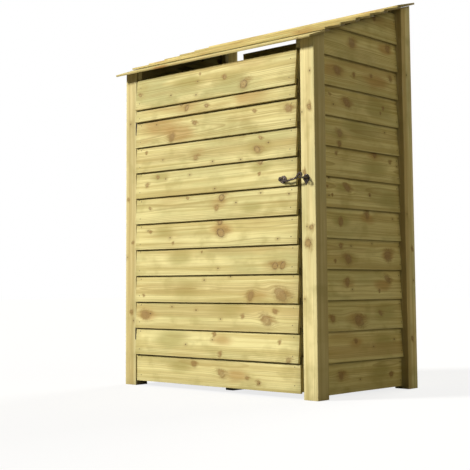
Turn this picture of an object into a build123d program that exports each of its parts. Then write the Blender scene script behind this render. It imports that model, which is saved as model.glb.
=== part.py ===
from build123d import *
from math import asin, atan, ceil, cos, degrees, radians, sin, tan
import os

os.makedirs("parts", exist_ok=True)

# A tall timber log store: four square posts, lapped boards on the sides and back, a lapped
# roof that is low at the front and high at the back, and one boarded door with a cabin hook.
# Millimetres. +Z is up, the door faces -Y, and the origin is on the ground under the middle
# of the whole outline, roof overhangs included.

# Main frame
body_width = 1160
body_depth = 740
post_size = 75
post_chamfer = 2.5
eave_height = 1504
roof_pitch = 20
seat_gap = 0.3

# Sawn boards, all cut from one stock
board_width = 148
board_thickness = 11
board_end_gap = 0.8

# Roof
roof_board_thickness = 9
roof_lap_wanted = 118
roof_front_overhang = 49
roof_back_overhang = 15.4
roof_side_overhang = 18
rafter_width = 27
rafter_depth = 38
rafter_setback = 10

# Side and back walls
cladding_recess = 47.5
batten_width = 27
wall_ground_gap = 12
side_lap_pitch = 130.4
side_least_strip = 45
back_vent_height = 79.5
back_end_gap = 80
back_end_batten_width = 100
back_middle_batten_width = 60
back_batten_drop = 49
bottom_rail_height = 60
bottom_rail_base = 20

# Floor
floor_slat_width = 95
floor_slat_thickness = 16
floor_slat_count = 5
floor_bearer_width = 45

# Door
door_hinge_gap = 11
door_latch_gap = 13
door_base = 23.5
door_head_gap = 46
door_lap_pitch = 122.7
door_set_in = 8
door_frame_thickness = 27
door_frame_width = 60
door_frame_inset = 6
stop_width = 22
stop_gap = 5
stop_end_gap = 18

# Butt hinges
hinge_from_door_end = 228
hinge_length = 75
hinge_leaf_depth = 28
hinge_leaf_thickness = 2
hinge_knuckle_radius = 4.5
hinge_pin_radius = 2.2
hinge_pin_gap = 0.2
hinge_knuckle_gap = 0.5
hinge_pin_forward = 4
hinge_head_radius = 3.6
hinge_head_height = 1.5

# Cabin hook
hook_height = 910
hook_pivot_from_side = 157
hook_reach = 111
hook_forward = 34
hook_bar_side = 6.6
hook_bend_radius = 5
hook_twist_share = 0.8
hook_quarter_twists = 5
hook_eye_radius = 9.5
hook_eye_thickness = 8
hook_stud_radius = 3.6
hook_stud_shoulder_radius = 5.4
hook_stud_head_radius = 6.4
hook_stud_head_thickness = 3
hook_stud_head_bevel = 1.6
hook_stud_sink = 1
hook_running_gap = 0.4
hook_sag = 9.5
hook_sag_from_stud = 31
hook_root_drop = 3.2
hook_bar_end_drop = 1
hook_neck_rise = 20
hook_neck_width = 10
hook_tip_end = 5
rose_radius = 17
rose_thickness = 3
rose_bevel = 1.2
rose_tail = 29
staple_bar_side = 5
staple_inner_radius = 7.5
staple_drop = 2.5

# Places worked out from the sizes above
half_width = body_width / 2
inner_face = half_width - post_size
cladding_plane = half_width - cladding_recess
pitch_angle = radians(roof_pitch)
batten_depth = post_size - cladding_recess


def lapped_boards(boards, thickness):
    """Corners of each board of a lapped course, lowest first, as (out, up) pairs.

    Each board is given as its lower edge and its width. Its inner top edge touches the
    framing and its foot stands off on the face or the top corner of the board below,
    whichever pushes it out further, so every board after the first leans outwards.
    """
    profiles = []
    for edge, width in boards:
        lift = seat_gap
        if profiles:
            _, outer_below, outer_top_below, _ = profiles[-1]
            face_slope = (outer_below[0] - outer_top_below[0]) / (outer_top_below[1] - outer_below[1])
            on_face = outer_below[0] - (edge - outer_below[1]) * face_slope
            corner_lean = atan(outer_top_below[0] / (edge + width - outer_top_below[1]))
            lift = seat_gap + max(on_face, width * sin(corner_lean))
        lean = asin((lift - seat_gap) / width)
        up = (-sin(lean), cos(lean))
        out = (cos(lean), sin(lean))
        bottom = (lift, edge)
        top = (lift + width * up[0], edge + width * up[1])
        outer_bottom = (bottom[0] + thickness * out[0], bottom[1] + thickness * out[1])
        outer_top = (top[0] + thickness * out[0], top[1] + thickness * out[1])
        profiles.append([bottom, outer_bottom, outer_top, top])
    return profiles


def full_boards(first_edge, step, count):
    """Lower edge and width of each board of a course of full boards."""
    return [(first_edge + i * step, board_width) for i in range(count)]


def roof_point(along, height, front):
    """The (y, z) of a point given along the slope from the front posts and above it."""
    y = front + along * cos(pitch_angle) - height * sin(pitch_angle)
    z = eave_height + along * sin(pitch_angle) + height * cos(pitch_angle)
    return (y, z)


def save(piece, name):
    """Give the finished piece its name and write it."""
    piece.part.label = name
    export_step(piece.part, f"parts/{name}.step")


# The roof boards set the front and back of the outline, so their corners centre it on Y
roof_start = -roof_front_overhang / cos(pitch_angle)
roof_run = (roof_front_overhang + body_depth + roof_back_overhang) / cos(pitch_angle)
roof_steps = round((roof_run - board_width) / roof_lap_wanted)
roof_lap_pitch = (roof_run - board_width) / roof_steps
roof_courses = full_boards(roof_start, roof_lap_pitch, roof_steps + 1)
roof_profiles = lapped_boards(roof_courses, roof_board_thickness)
roof_corners = [roof_point(up, out, 0) for profile in roof_profiles for out, up in profile]
roof_reach = [corner[0] for corner in roof_corners]
front = -(min(roof_reach) + max(roof_reach)) / 2
back = front + body_depth
front_post_back = front + post_size
back_post_front = back - post_size


def roof_height(y):
    """Height of the line that the roof boards rest on."""
    return eave_height + (y - front) * tan(pitch_angle)


roof_plane = Plane(
    origin=(0, front, eave_height),
    x_dir=(1, 0, 0),
    z_dir=(0, -sin(pitch_angle), cos(pitch_angle)),
)
above_roof = 2 * body_width

# Posts, cut to the slope of the roof
post_centres = {
    "post_front_left": (-half_width + post_size / 2, front + post_size / 2),
    "post_front_right": (half_width - post_size / 2, front + post_size / 2),
    "post_back_left": (-half_width + post_size / 2, back - post_size / 2),
    "post_back_right": (half_width - post_size / 2, back - post_size / 2),
}
for name, (x, y) in post_centres.items():
    with BuildPart() as post:
        with BuildSketch():
            with Locations((x, y)):
                Rectangle(post_size, post_size)
        extrude(amount=roof_height(back))
        chamfer(post.edges().filter_by(Axis.Z), post_chamfer)
        split(bisect_by=roof_plane, keep=Keep.BOTTOM)
    save(post, name)

# Rafters on the inner faces of the posts carry the ends of the roof boards
for side, name in ((-1, "left_rafter"), (1, "right_rafter")):
    drop = rafter_depth / cos(pitch_angle)
    y_front = front + rafter_setback
    corners = [
        (y_front, roof_height(y_front) - drop),
        (back, roof_height(back) - drop),
        (back, roof_height(back)),
        (y_front, roof_height(y_front)),
    ]
    with BuildPart() as rafter:
        with BuildSketch(Plane.YZ.offset(side * (inner_face - rafter_width / 2))):
            with BuildLine():
                Polyline(*corners, close=True)
            make_face()
        extrude(amount=rafter_width / 2, both=True)
    save(rafter, name)

# Roof boards, each lapped over the one in front
roof_end = Plane(
    origin=(half_width + roof_side_overhang, front, eave_height),
    x_dir=roof_plane.z_dir,
    z_dir=(-1, 0, 0),
)
for number, profile in enumerate(roof_profiles, start=1):
    with BuildPart() as roof_board:
        with BuildSketch(roof_end):
            with BuildLine():
                Polyline(*profile, close=True)
            make_face()
        extrude(amount=body_width + 2 * roof_side_overhang)
    save(roof_board, f"roof_board_{number}")

# Side walls: lapped boards between the posts, the top ones cut to the slope
side_rise = roof_height(back_post_front) - wall_ground_gap - side_least_strip
side_board_count = int(side_rise / side_lap_pitch) + 1
side_courses = full_boards(wall_ground_gap, side_lap_pitch, side_board_count)
side_profiles = lapped_boards(side_courses, board_thickness)
side_length = back_post_front - front_post_back - 2 * board_end_gap
for side, name in ((-1, "left"), (1, "right")):
    start_y = front_post_back + board_end_gap if side < 0 else back_post_front - board_end_gap
    wall_end = Plane(
        origin=(side * cladding_plane, start_y, 0),
        x_dir=(side, 0, 0),
        z_dir=(0, -side, 0),
    )
    with BuildPart() as side_wall_boards:
        with BuildSketch(wall_end):
            for profile in side_profiles:
                with BuildLine():
                    Polyline(*profile, close=True)
                make_face()
        extrude(amount=side_length)
        with BuildSketch(roof_plane.offset(-seat_gap)):
            Rectangle(above_roof, above_roof)
        extrude(amount=above_roof, mode=Mode.SUBTRACT)
    save(side_wall_boards, f"{name}_wall_boards")

# Side battens stand on the bottom rail against the posts and take the board ends
batten_base = bottom_rail_base + bottom_rail_height
batten_centre_x = inner_face + batten_depth / 2
side_batten_ys = {
    "front": front_post_back + batten_width / 2,
    "back": back_post_front - batten_width / 2,
}
for side, name in ((-1, "left"), (1, "right")):
    for end, y in side_batten_ys.items():
        with BuildPart() as side_batten:
            with BuildSketch(Plane.XY.offset(batten_base)):
                with Locations((side * batten_centre_x, y)):
                    Rectangle(batten_depth, batten_width)
            extrude(amount=roof_height(back) - batten_base)
            split(bisect_by=roof_plane, keep=Keep.BOTTOM)
        save(side_batten, f"{name}_wall_batten_{end}")

    with BuildPart() as side_bottom_rail:
        with BuildSketch(Plane.XY.offset(bottom_rail_base)):
            with Locations((side * batten_centre_x, (front + back) / 2)):
                Rectangle(batten_depth, back_post_front - front_post_back)
        extrude(amount=bottom_rail_height)
    save(side_bottom_rail, f"{name}_bottom_rail")

# Back wall: the boards stop short of the posts and below the roof, which leaves a vent
back_wall_top = roof_height(back) - back_vent_height
back_first_to_last = back_wall_top - board_width - wall_ground_gap
back_steps = ceil(back_first_to_last / side_lap_pitch)
back_courses = full_boards(wall_ground_gap, back_first_to_last / back_steps, back_steps + 1)
back_profiles = lapped_boards(back_courses, board_thickness)
back_half_length = inner_face - back_end_gap
back_cladding_plane = back - cladding_recess
back_wall_end = Plane(
    origin=(-back_half_length, back_cladding_plane, 0),
    x_dir=(0, 1, 0),
    z_dir=(1, 0, 0),
)
with BuildPart() as back_wall_boards:
    with BuildSketch(back_wall_end):
        for profile in back_profiles:
            with BuildLine():
                Polyline(*profile, close=True)
            make_face()
    extrude(amount=2 * back_half_length)
save(back_wall_boards, "back_wall_boards")

back_batten_y = back_cladding_plane - batten_depth / 2
back_battens = {
    "left": (-inner_face + back_end_batten_width / 2, back_end_batten_width),
    "middle": (0, back_middle_batten_width),
    "right": (inner_face - back_end_batten_width / 2, back_end_batten_width),
}
for name, (x, width) in back_battens.items():
    with BuildPart() as back_batten:
        with BuildSketch(Plane.XY.offset(batten_base)):
            with Locations((x, back_batten_y)):
                Rectangle(width, batten_depth)
        extrude(amount=back_wall_top - back_batten_drop - batten_base)
    save(back_batten, f"back_wall_batten_{name}")

with BuildPart() as back_bottom_rail:
    with BuildSketch(Plane.XY.offset(bottom_rail_base)):
        with Locations((0, back_batten_y)):
            Rectangle(2 * inner_face, batten_depth)
    extrude(amount=bottom_rail_height)
save(back_bottom_rail, "back_bottom_rail")

# Slatted floor on the side rails and one middle bearer
floor_front = front_post_back + batten_width + 2 * board_end_gap
floor_back = back_post_front - batten_width - 2 * board_end_gap
slat_pitch = (floor_back - floor_front - floor_slat_width) / (floor_slat_count - 1)
slat_ys = [floor_front + floor_slat_width / 2 + i * slat_pitch for i in range(floor_slat_count)]
slat_length = 2 * (cladding_plane - 2 * board_end_gap)
with BuildPart() as floor_slats:
    with BuildSketch(Plane.XY.offset(batten_base)):
        with Locations(*[(0, y) for y in slat_ys]):
            Rectangle(slat_length, floor_slat_width)
    extrude(amount=floor_slat_thickness)
save(floor_slats, "floor_slats")

with BuildPart() as floor_bearer:
    with BuildSketch():
        with Locations((0, (floor_front + floor_back) / 2)):
            Rectangle(floor_bearer_width, floor_back - floor_front)
    extrude(amount=batten_base)
save(floor_bearer, "floor_bearer")

# Door: lapped boards on a frame of two stiles, three rails and two braces
door_left = -inner_face + door_hinge_gap
door_right = inner_face - door_latch_gap
door_middle = (door_left + door_right) / 2
door_width = door_right - door_left
door_plane_y = front + door_set_in
door_top = eave_height - door_head_gap
top_edge = door_top - board_width
door_full_count = int((top_edge - door_base) / door_lap_pitch)
door_courses = full_boards(door_base, door_lap_pitch, door_full_count)
ripped_edge = door_base + door_full_count * door_lap_pitch
door_overlap = board_width - door_lap_pitch
door_courses.append((ripped_edge, top_edge - ripped_edge + door_overlap))
door_courses.append((top_edge, board_width))
door_profiles = lapped_boards(door_courses, board_thickness)
door_end = Plane(origin=(door_right, door_plane_y, 0), x_dir=(0, -1, 0), z_dir=(-1, 0, 0))
with BuildPart() as door_boards:
    with BuildSketch(door_end):
        for profile in door_profiles:
            with BuildLine():
                Polyline(*profile, close=True)
            make_face()
    extrude(amount=door_width)
save(door_boards, "door_boards")

frame_bottom = door_base + door_frame_inset
frame_top = door_top - door_frame_inset
frame_back = Plane.XZ.offset(-door_plane_y)
stile_xs = {
    "hinge": door_left + door_frame_width / 2,
    "latch": door_right - door_frame_width / 2,
}
for name, x in stile_xs.items():
    with BuildPart() as door_stile:
        with BuildSketch(frame_back):
            with Locations((x, (frame_bottom + frame_top) / 2)):
                Rectangle(door_frame_width, frame_top - frame_bottom)
        extrude(amount=-door_frame_thickness)
    save(door_stile, f"door_stile_{name}")

rail_length = door_width - 2 * door_frame_width
rail_zs = {
    "bottom": frame_bottom + door_frame_width / 2,
    "middle": (frame_bottom + frame_top) / 2,
    "top": frame_top - door_frame_width / 2,
}
for name, z in rail_zs.items():
    with BuildPart() as door_rail:
        with BuildSketch(frame_back):
            with Locations((door_middle, z)):
                Rectangle(rail_length, door_frame_width)
        extrude(amount=-door_frame_thickness)
    save(door_rail, f"door_rail_{name}")

# Each brace runs up from the hinge side, cut to the corners of its bay
brace_bays = {
    "lower": (rail_zs["bottom"], rail_zs["middle"]),
    "upper": (rail_zs["middle"], rail_zs["top"]),
}
for name, (lower, upper) in brace_bays.items():
    bay_height = upper - lower - door_frame_width
    with BuildPart() as door_brace:
        with BuildSketch(frame_back):
            with Locations((door_middle, (lower + upper) / 2)):
                slope = degrees(atan(bay_height / rail_length))
                Rectangle(2 * rail_length, door_frame_width, rotation=slope)
                Rectangle(rail_length, bay_height, mode=Mode.INTERSECT)
        extrude(amount=-door_frame_thickness)
    save(door_brace, f"door_brace_{name}")

# The stop is fixed inside the latch post, just behind the closed door
stop_front = door_plane_y + door_frame_thickness + stop_gap
stop_base = door_base + stop_end_gap
with BuildPart() as door_stop:
    with BuildSketch(Plane.XY.offset(stop_base)):
        with Locations((inner_face - stop_width / 2, stop_front + batten_width / 2)):
            Rectangle(stop_width, batten_width)
    extrude(amount=door_top - stop_end_gap - stop_base)
save(door_stop, "door_stop")

# Butt hinges in the left gap: the pin stands just in front of the post
pin_x = (-inner_face + door_left) / 2
pin_y = front - hinge_pin_forward
knuckle_length = (hinge_length - 2 * hinge_knuckle_gap) / 3
knuckle_step = knuckle_length + hinge_knuckle_gap
leaf_start = pin_y + hinge_knuckle_radius + hinge_knuckle_gap
leaf_end = front + hinge_leaf_depth
bore_radius = hinge_pin_radius + hinge_pin_gap


def hinge_leaf(centre_z, knuckle_offsets, plate_x):
    """One leaf: a plate on the wood, with its knuckles round the pin in front of it."""
    with BuildPart() as leaf:
        with BuildSketch(Plane.XY.offset(centre_z - hinge_length / 2)):
            with Locations((plate_x, (leaf_start + leaf_end) / 2)):
                Rectangle(hinge_leaf_thickness, leaf_end - leaf_start)
        extrude(amount=hinge_length)
        for offset_z in knuckle_offsets:
            base = centre_z + offset_z - knuckle_length / 2
            with BuildSketch(Plane.XY.offset(base)):
                with Locations((pin_x, pin_y)):
                    Circle(hinge_knuckle_radius)
                with Locations((plate_x, (pin_y + leaf_end) / 2)):
                    Rectangle(hinge_leaf_thickness, leaf_end - pin_y)
                with Locations((pin_x, pin_y)):
                    Circle(bore_radius, mode=Mode.SUBTRACT)
            extrude(amount=knuckle_length)
    return leaf


hinge_heights = {
    "hinge_lower": door_base + hinge_from_door_end,
    "hinge_upper": door_top - hinge_from_door_end,
}
for name, centre_z in hinge_heights.items():
    post_leaf = hinge_leaf(
        centre_z, [-knuckle_step, knuckle_step], -inner_face + hinge_leaf_thickness / 2
    )
    with BuildPart() as post_half:
        add(post_leaf.part)
        with BuildSketch(Plane.XY.offset(centre_z - hinge_length / 2)):
            with Locations((pin_x, pin_y)):
                Circle(hinge_pin_radius)
        extrude(amount=hinge_length + hinge_pin_gap)
        with BuildSketch(Plane.XY.offset(centre_z + hinge_length / 2 + hinge_pin_gap)):
            with Locations((pin_x, pin_y)):
                Circle(hinge_head_radius)
        extrude(amount=hinge_head_height)
    save(post_half, f"{name}_post_leaf")

    door_leaf = hinge_leaf(centre_z, [0], door_left - hinge_leaf_thickness / 2)
    save(door_leaf, f"{name}_door_leaf")

# Cabin hook: a rose with a stud on the door, a rose with a staple on the post
hook_x = half_width - hook_pivot_from_side
hook_y = front - hook_forward


def rose(plane, tail_angle):
    """A round plate with one leaf-shaped point and a bevelled edge."""
    tangent = degrees(asin(rose_radius / rose_tail))
    with BuildPart() as plate:
        with BuildSketch(plane):
            Circle(rose_radius)
            with BuildLine():
                tip = PolarLine((0, 0), rose_tail, tail_angle, mode=Mode.PRIVATE) @ 1
                side_a = PolarLine((0, 0), rose_radius, tail_angle + 90 - tangent, mode=Mode.PRIVATE) @ 1
                side_b = PolarLine((0, 0), rose_radius, tail_angle - 90 + tangent, mode=Mode.PRIVATE) @ 1
                Polyline(side_a, tip, side_b, (0, 0), close=True)
            make_face()
        extrude(amount=rose_thickness)
        outer_face = plate.faces().sort_by(Axis(plane.origin, plane.z_dir))[-1]
        chamfer(outer_face.edges(), rose_bevel)
    return plate


# The door rose lies flat on the leaning face of the board that carries it
carrier = max(i for i, course in enumerate(door_courses) if course[0] < hook_height)
_, carrier_bottom, carrier_top, _ = door_profiles[carrier]
carrier_rise = (hook_height - carrier_bottom[1]) / (carrier_top[1] - carrier_bottom[1])
carrier_out = carrier_bottom[0] + carrier_rise * (carrier_top[0] - carrier_bottom[0])
carrier_lean = asin((carrier_bottom[0] - carrier_top[0]) / board_width)
door_rose_y = door_plane_y - carrier_out
door_rose_plane = Plane(
    origin=(hook_x, door_rose_y, hook_height),
    x_dir=(1, 0, 0),
    z_dir=(0, -cos(carrier_lean), sin(carrier_lean)),
)
eye_back = hook_y + hook_eye_thickness / 2
eye_front = hook_y - hook_eye_thickness / 2
stud_root_y = door_rose_y - hook_stud_sink
with BuildPart() as door_hook_plate:
    add(rose(door_rose_plane.offset(seat_gap), 180).part)
    with BuildSketch(Plane.XZ.offset(-stud_root_y)):
        with Locations((hook_x, hook_height)):
            Circle(hook_stud_shoulder_radius)
    extrude(amount=stud_root_y - eye_back - hook_running_gap)
    with BuildSketch(Plane.XZ.offset(-stud_root_y)):
        with Locations((hook_x, hook_height)):
            Circle(hook_stud_radius)
    extrude(amount=stud_root_y - eye_front + hook_running_gap)
    with BuildSketch(Plane.XZ.offset(-eye_front + hook_running_gap)):
        with Locations((hook_x, hook_height)):
            Circle(hook_stud_head_radius)
    extrude(amount=hook_stud_head_thickness)
    chamfer(door_hook_plate.faces().sort_by(Axis.Y)[0].edges(), hook_stud_head_bevel)
save(door_hook_plate, "door_hook_plate")

# The staple is a bent square bar, level, with its legs set in the post rose
staple_x = hook_x + hook_reach
staple_z = hook_height + hook_tip_end - staple_drop - staple_bar_side / 2
leg_radius = staple_inner_radius + staple_bar_side / 2
post_rose_plane = Plane(origin=(staple_x, front, staple_z), x_dir=(1, 0, 0), z_dir=(0, -1, 0))
staple_plane = Plane.XY.offset(staple_z)
save(rose(post_rose_plane, -90), "post_hook_rose")

staple_root_y = front - rose_thickness
with BuildPart() as post_hook_staple:
    with BuildLine(staple_plane) as staple_path:
        leg_in = Line((staple_x - leg_radius, staple_root_y), (staple_x - leg_radius, hook_y))
        bow = ThreePointArc(
            leg_in @ 1, (staple_x, hook_y - leg_radius), (staple_x + leg_radius, hook_y)
        )
        Line(bow @ 1, (staple_x + leg_radius, staple_root_y))
    with BuildSketch(Plane(origin=leg_in @ 0, z_dir=(0, -1, 0))):
        Rectangle(staple_bar_side, staple_bar_side)
    sweep()
save(post_hook_staple, "post_hook_staple")

# The hook: an eye round the stud, a square bar that sags a little and is twisted along its
# straight stretch, and a neck that bends down
hook_plane = Plane(origin=(hook_x, hook_y, hook_height), x_dir=(1, 0, 0), z_dir=(0, -1, 0))
neck_start = hook_reach - hook_neck_width - hook_neck_rise
with BuildPart() as cabin_hook:
    with BuildSketch(hook_plane.offset(-hook_eye_thickness / 2)):
        Circle(hook_eye_radius)
    extrude(amount=hook_eye_thickness)
    with BuildLine(hook_plane) as hook_path:
        FilletPolyline(
            (hook_stud_radius + hook_bar_side / 2, -hook_root_drop),
            (hook_sag_from_stud, -hook_sag),
            (neck_start, -hook_bar_end_drop),
            (neck_start + hook_neck_rise, hook_neck_rise),
            (hook_reach, hook_neck_rise),
            (hook_reach, hook_tip_end),
            radius=hook_bend_radius,
        )
    bar_root = Plane(origin=hook_path.line @ 0, x_dir=(0, 1, 0), z_dir=hook_path.line % 0)
    with BuildSketch(bar_root):
        Rectangle(hook_bar_side, hook_bar_side)
    sweep(path=hook_path.line)
    straight = hook_path.edges().sort_by(SortBy.LENGTH)[-1]
    twist_way = (straight @ 1 - straight @ 0) * hook_twist_share
    twist_root = straight @ ((1 - hook_twist_share) / 2)
    twist_plane = Plane(origin=twist_root, x_dir=(0, 1, 0), z_dir=twist_way)
    with BuildSketch(twist_plane):
        Rectangle(2 * hook_bar_side, 2 * hook_bar_side)
    extrude(amount=twist_way.length, mode=Mode.SUBTRACT)
    with BuildSketch(twist_plane, mode=Mode.PRIVATE) as bar_end:
        Rectangle(hook_bar_side, hook_bar_side)
    turn = 90 * hook_quarter_twists
    add(Solid.extrude_linear_with_rotation(bar_end.sketch.face(), twist_root, twist_way, turn))
    with BuildSketch(hook_plane.offset(-hook_eye_radius)):
        Circle(hook_stud_radius + hook_running_gap)
    extrude(amount=2 * hook_eye_radius, mode=Mode.SUBTRACT)
save(cabin_hook, "cabin_hook")
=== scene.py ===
# %% [markdown]
# # A log store of lapped boards
#
# The store is a tall narrow timber shed for firewood: four posts, lapped boards on the sides
# and back, a lapped roof that is low at the front, and a boarded door held by a cabin hook.
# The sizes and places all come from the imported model, which is loaded first. Each board and
# post is then worked on by itself, as a joiner would, and laid back in its place.

import math
import random

import bpy
from mathutils import Matrix, Vector


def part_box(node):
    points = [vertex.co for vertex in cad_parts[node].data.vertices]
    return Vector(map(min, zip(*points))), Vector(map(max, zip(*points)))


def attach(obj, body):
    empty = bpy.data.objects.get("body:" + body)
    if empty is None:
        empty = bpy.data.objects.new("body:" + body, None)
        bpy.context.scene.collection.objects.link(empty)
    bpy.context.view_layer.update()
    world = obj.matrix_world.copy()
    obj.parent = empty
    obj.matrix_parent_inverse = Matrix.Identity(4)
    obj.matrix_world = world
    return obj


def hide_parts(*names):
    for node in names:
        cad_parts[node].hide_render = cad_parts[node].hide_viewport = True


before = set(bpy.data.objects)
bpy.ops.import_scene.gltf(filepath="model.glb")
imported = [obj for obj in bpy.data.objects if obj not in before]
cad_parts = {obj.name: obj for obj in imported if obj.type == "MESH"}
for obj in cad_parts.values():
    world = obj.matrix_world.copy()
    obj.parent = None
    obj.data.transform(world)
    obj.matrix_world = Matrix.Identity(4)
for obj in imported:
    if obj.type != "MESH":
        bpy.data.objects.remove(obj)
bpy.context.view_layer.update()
bpy.ops.object.select_all(action="DESELECT")

# %% [markdown]
# ## Camera
#
# A long lens stands low and to the right of the store and looks up a little, so that both the
# door and the right wall show, with the undersides of the roof boards. The picture was cropped
# off the middle of the lens, which the two shifts repeat.

# %% Set the camera
camera_place = (3.2085, -3.7653, 0.4647)
camera_yaw = math.radians(43.371)
camera_pitch = math.radians(5.248)
camera_roll = math.radians(-0.256)
bpy.ops.object.camera_add(location=camera_place)
camera = bpy.context.object
camera.name = "camera"
level = Matrix.Rotation(camera_yaw, 3, "Z") @ Matrix.Rotation(math.pi / 2, 3, "X")
tilt = Matrix.Rotation(camera_pitch, 3, "X") @ Matrix.Rotation(camera_roll, 3, "Z")
camera.rotation_euler = (level @ tilt).to_euler()
camera.data.sensor_width = 36
camera.data.lens = 80.24
camera.data.shift_x = 0.0532
camera.data.shift_y = -0.0957
bpy.context.scene.camera = camera
bpy.context.scene.view_settings.view_transform = "Standard"
print("camera", [round(v, 3) for v in camera.location], "lens", camera.data.lens)

# %% [markdown]
# ## Shader maths
#
# A finish is easier to read as sums than as a web of nodes. A Wire stands for one socket and
# turns + - * / into Math nodes. A Finish holds one material and adds any other node by type,
# settings and inputs.

# %% A wire and a finish


class Wire:
    """A socket of a finish, used in sums as a number would be."""

    def __init__(self, finish, socket):
        self.finish = finish
        self.socket = socket

    def maths(self, operation, *values):
        return self.finish.node("ShaderNodeMath", {"operation": operation}, values)

    def apply(self, operation):
        """An operation that takes this one value, such as SINE."""
        return self.maths(operation, self)

    def __add__(self, other):
        return self.maths("ADD", self, other)

    def __sub__(self, other):
        return self.maths("SUBTRACT", self, other)

    def __rsub__(self, other):
        return self.maths("SUBTRACT", other, self)

    def __mul__(self, other):
        return self.maths("MULTIPLY", self, other)

    def __truediv__(self, other):
        return self.maths("DIVIDE", self, other)

    def __pow__(self, other):
        return self.maths("POWER", self, other)

    def __abs__(self):
        return self.apply("ABSOLUTE")

    def lesser(self, other):
        return self.maths("MINIMUM", self, other)

    __radd__ = __add__
    __rmul__ = __mul__


class Finish:
    """One material, built round its Principled shader."""

    def __init__(self, name, **steady):
        self.material = bpy.data.materials.new(name)
        self.material.use_nodes = True
        self.tree = self.material.node_tree
        self.shader = self.tree.nodes["Principled BSDF"]
        for socket, value in steady.items():
            self.feed(socket.replace("_", " "), value)

    def node(self, kind, settings, values, output=0):
        """One node of any type: its settings first, then its inputs by place or name."""
        made = self.tree.nodes.new(kind)
        for setting, value in settings.items():
            setattr(made, setting, value)
        inputs = values.items() if isinstance(values, dict) else enumerate(values)
        for place, value in inputs:
            self.plug(value, made.inputs[place])
        return Wire(self, made.outputs[output])

    def plug(self, value, socket):
        if isinstance(value, Wire):
            self.tree.links.new(value.socket, socket)
        else:
            socket.default_value = value

    def feed(self, socket, value):
        """Gives one of the shader's own sockets a value or a wire."""
        self.plug(value, self.shader.inputs[socket])

    def attribute(self, name):
        return self.node("ShaderNodeAttribute", {"attribute_name": name}, {}, "Vector")

    def parts(self, vector):
        """The three numbers of a vector."""
        split = self.tree.nodes.new("ShaderNodeSeparateXYZ")
        self.plug(vector, split.inputs[0])
        return [Wire(self, output) for output in split.outputs]

    def point(self, x, y, z):
        return self.node("ShaderNodeCombineXYZ", {}, (x, y, z))

    def ease(self, value, low, high):
        """0 at low and 1 at high, with a smooth start and end."""
        settings = {"interpolation_type": "SMOOTHSTEP"}
        return self.node("ShaderNodeMapRange", settings, (value, low, high))

    def noise(self, point, detail=2.0, roughness=0.5):
        inputs = {"Vector": point, "Scale": 1.0, "Detail": detail, "Roughness": roughness}
        return self.node("ShaderNodeTexNoise", {}, inputs)

    def mix(self, share, first, second):
        """Moves a colour from first to second by share."""
        settings = {"data_type": "RGBA"}
        return self.node("ShaderNodeMix", settings, {0: share, 6: first, 7: second}, 2)

    def raise_surface(self, height, distance):
        """Feeds a height to the shader's Normal through a Bump, with its scale in metres."""
        inputs = {"Height": height, "Distance": distance, "Strength": 1.0}
        self.feed("Normal", self.node("ShaderNodeBump", {}, inputs))


# %% [markdown]
# ## Pressure-treated softwood
#
# The boards are young pine, sawn and soaked in a green preservative. The sapwood turns pale
# yellow with greenish streaks, the heartwood stays tan because it takes up less, and the knots
# stay brown with darker rims. A flat photograph of wood would repeat and would not turn the
# corner of a board, so the pattern is solid: every point knows how far it is along, across and
# through its board, and its growth ring is its distance from a pith line behind the face.
# Round a knot the fibres are pushed aside first, which bends rings and streaks together.

# %% Knots in the fibres
knot_slots = 4
far_from_knots = 9.0
lean_steps = (171.0, 93.0)
knot_slant = 0.45
knot_length = 1.05
knot_length_spread = 0.3
fibre_push = 0.95
push_length = 2.6
push_width = 1.8
plume_shift = (1.5, 1.05)
plume_size = (1.9, 1.15)
plume_ragged = 1.6
side_sharpness = 99.0


def knots_and_flow(wood, along, across, wobble):
    """Distance from the nearest knot and its plume in knot radii, and the unbent fibre."""
    nearest = far_from_knots
    plume = far_from_knots
    flow = across
    for number in range(1, knot_slots + 1):
        knot_along, knot_across, radius = wood.parts(wood.attribute(f"knot_{number}"))
        lean = knot_along * lean_steps[0] + knot_across * lean_steps[1]
        slant = lean.apply("SINE")
        u = (along - knot_along) / radius
        v = (across - knot_across) / radius + u * slant * knot_slant
        u = u / (knot_length + slant * knot_length_spread)
        apart = (u * u + v * v) ** 0.5 + wobble
        nearest = apart.lesser(nearest)
        side = (slant * side_sharpness).apply("TANH")
        plume_u = (u - side * plume_shift[0]) / plume_size[0]
        plume_v = (v - plume_shift[1] + wobble * plume_ragged) / plume_size[1]
        plume = ((plume_u * plume_u + plume_v * plume_v) ** 0.5).lesser(plume)
        stretched = (u / push_length) ** 2.0 + (v / push_width) ** 2.0
        pull = (stretched * -1.0).apply("EXPONENT")
        flow = flow - radius * fibre_push * pull * v.apply("TANH")
    return nearest, plume, flow


# %% Growth rings
pith_drift = 0.024
pith_turns = 1.7
ring_wave = 0.004
wave_scale = (2.4, 14.0)
year_step = 3.71


def growth_rings(wood, along, flow, depth, seed, pith):
    """The share of late wood at a point, and the distance from the pith in metres."""
    pith_across, pith_depth, ring_width = wood.parts(pith)
    wander = wood.noise(wood.point(along * pith_turns + seed * 5.0, seed, 0.0), 1.0) - 0.5
    beside = flow - pith_across
    behind = depth - pith_depth + wander * pith_drift
    wave_point = wood.point(along * wave_scale[0], flow * wave_scale[1] + seed, depth * wave_scale[1])
    wave = wood.noise(wave_point) - 0.5
    radius = (beside * beside + behind * behind) ** 0.5 + wave * ring_wave
    turns = radius / ring_width + seed
    share = turns.apply("FRACT")
    late = wood.ease(share, 0.25, 0.9) * wood.ease(share, 1.0, 0.93)
    year = wood.noise(wood.point(turns.apply("FLOOR") * year_step, seed, 0.5), 0.0)
    return late * wood.ease(year, 0.3, 0.62), radius


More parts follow.
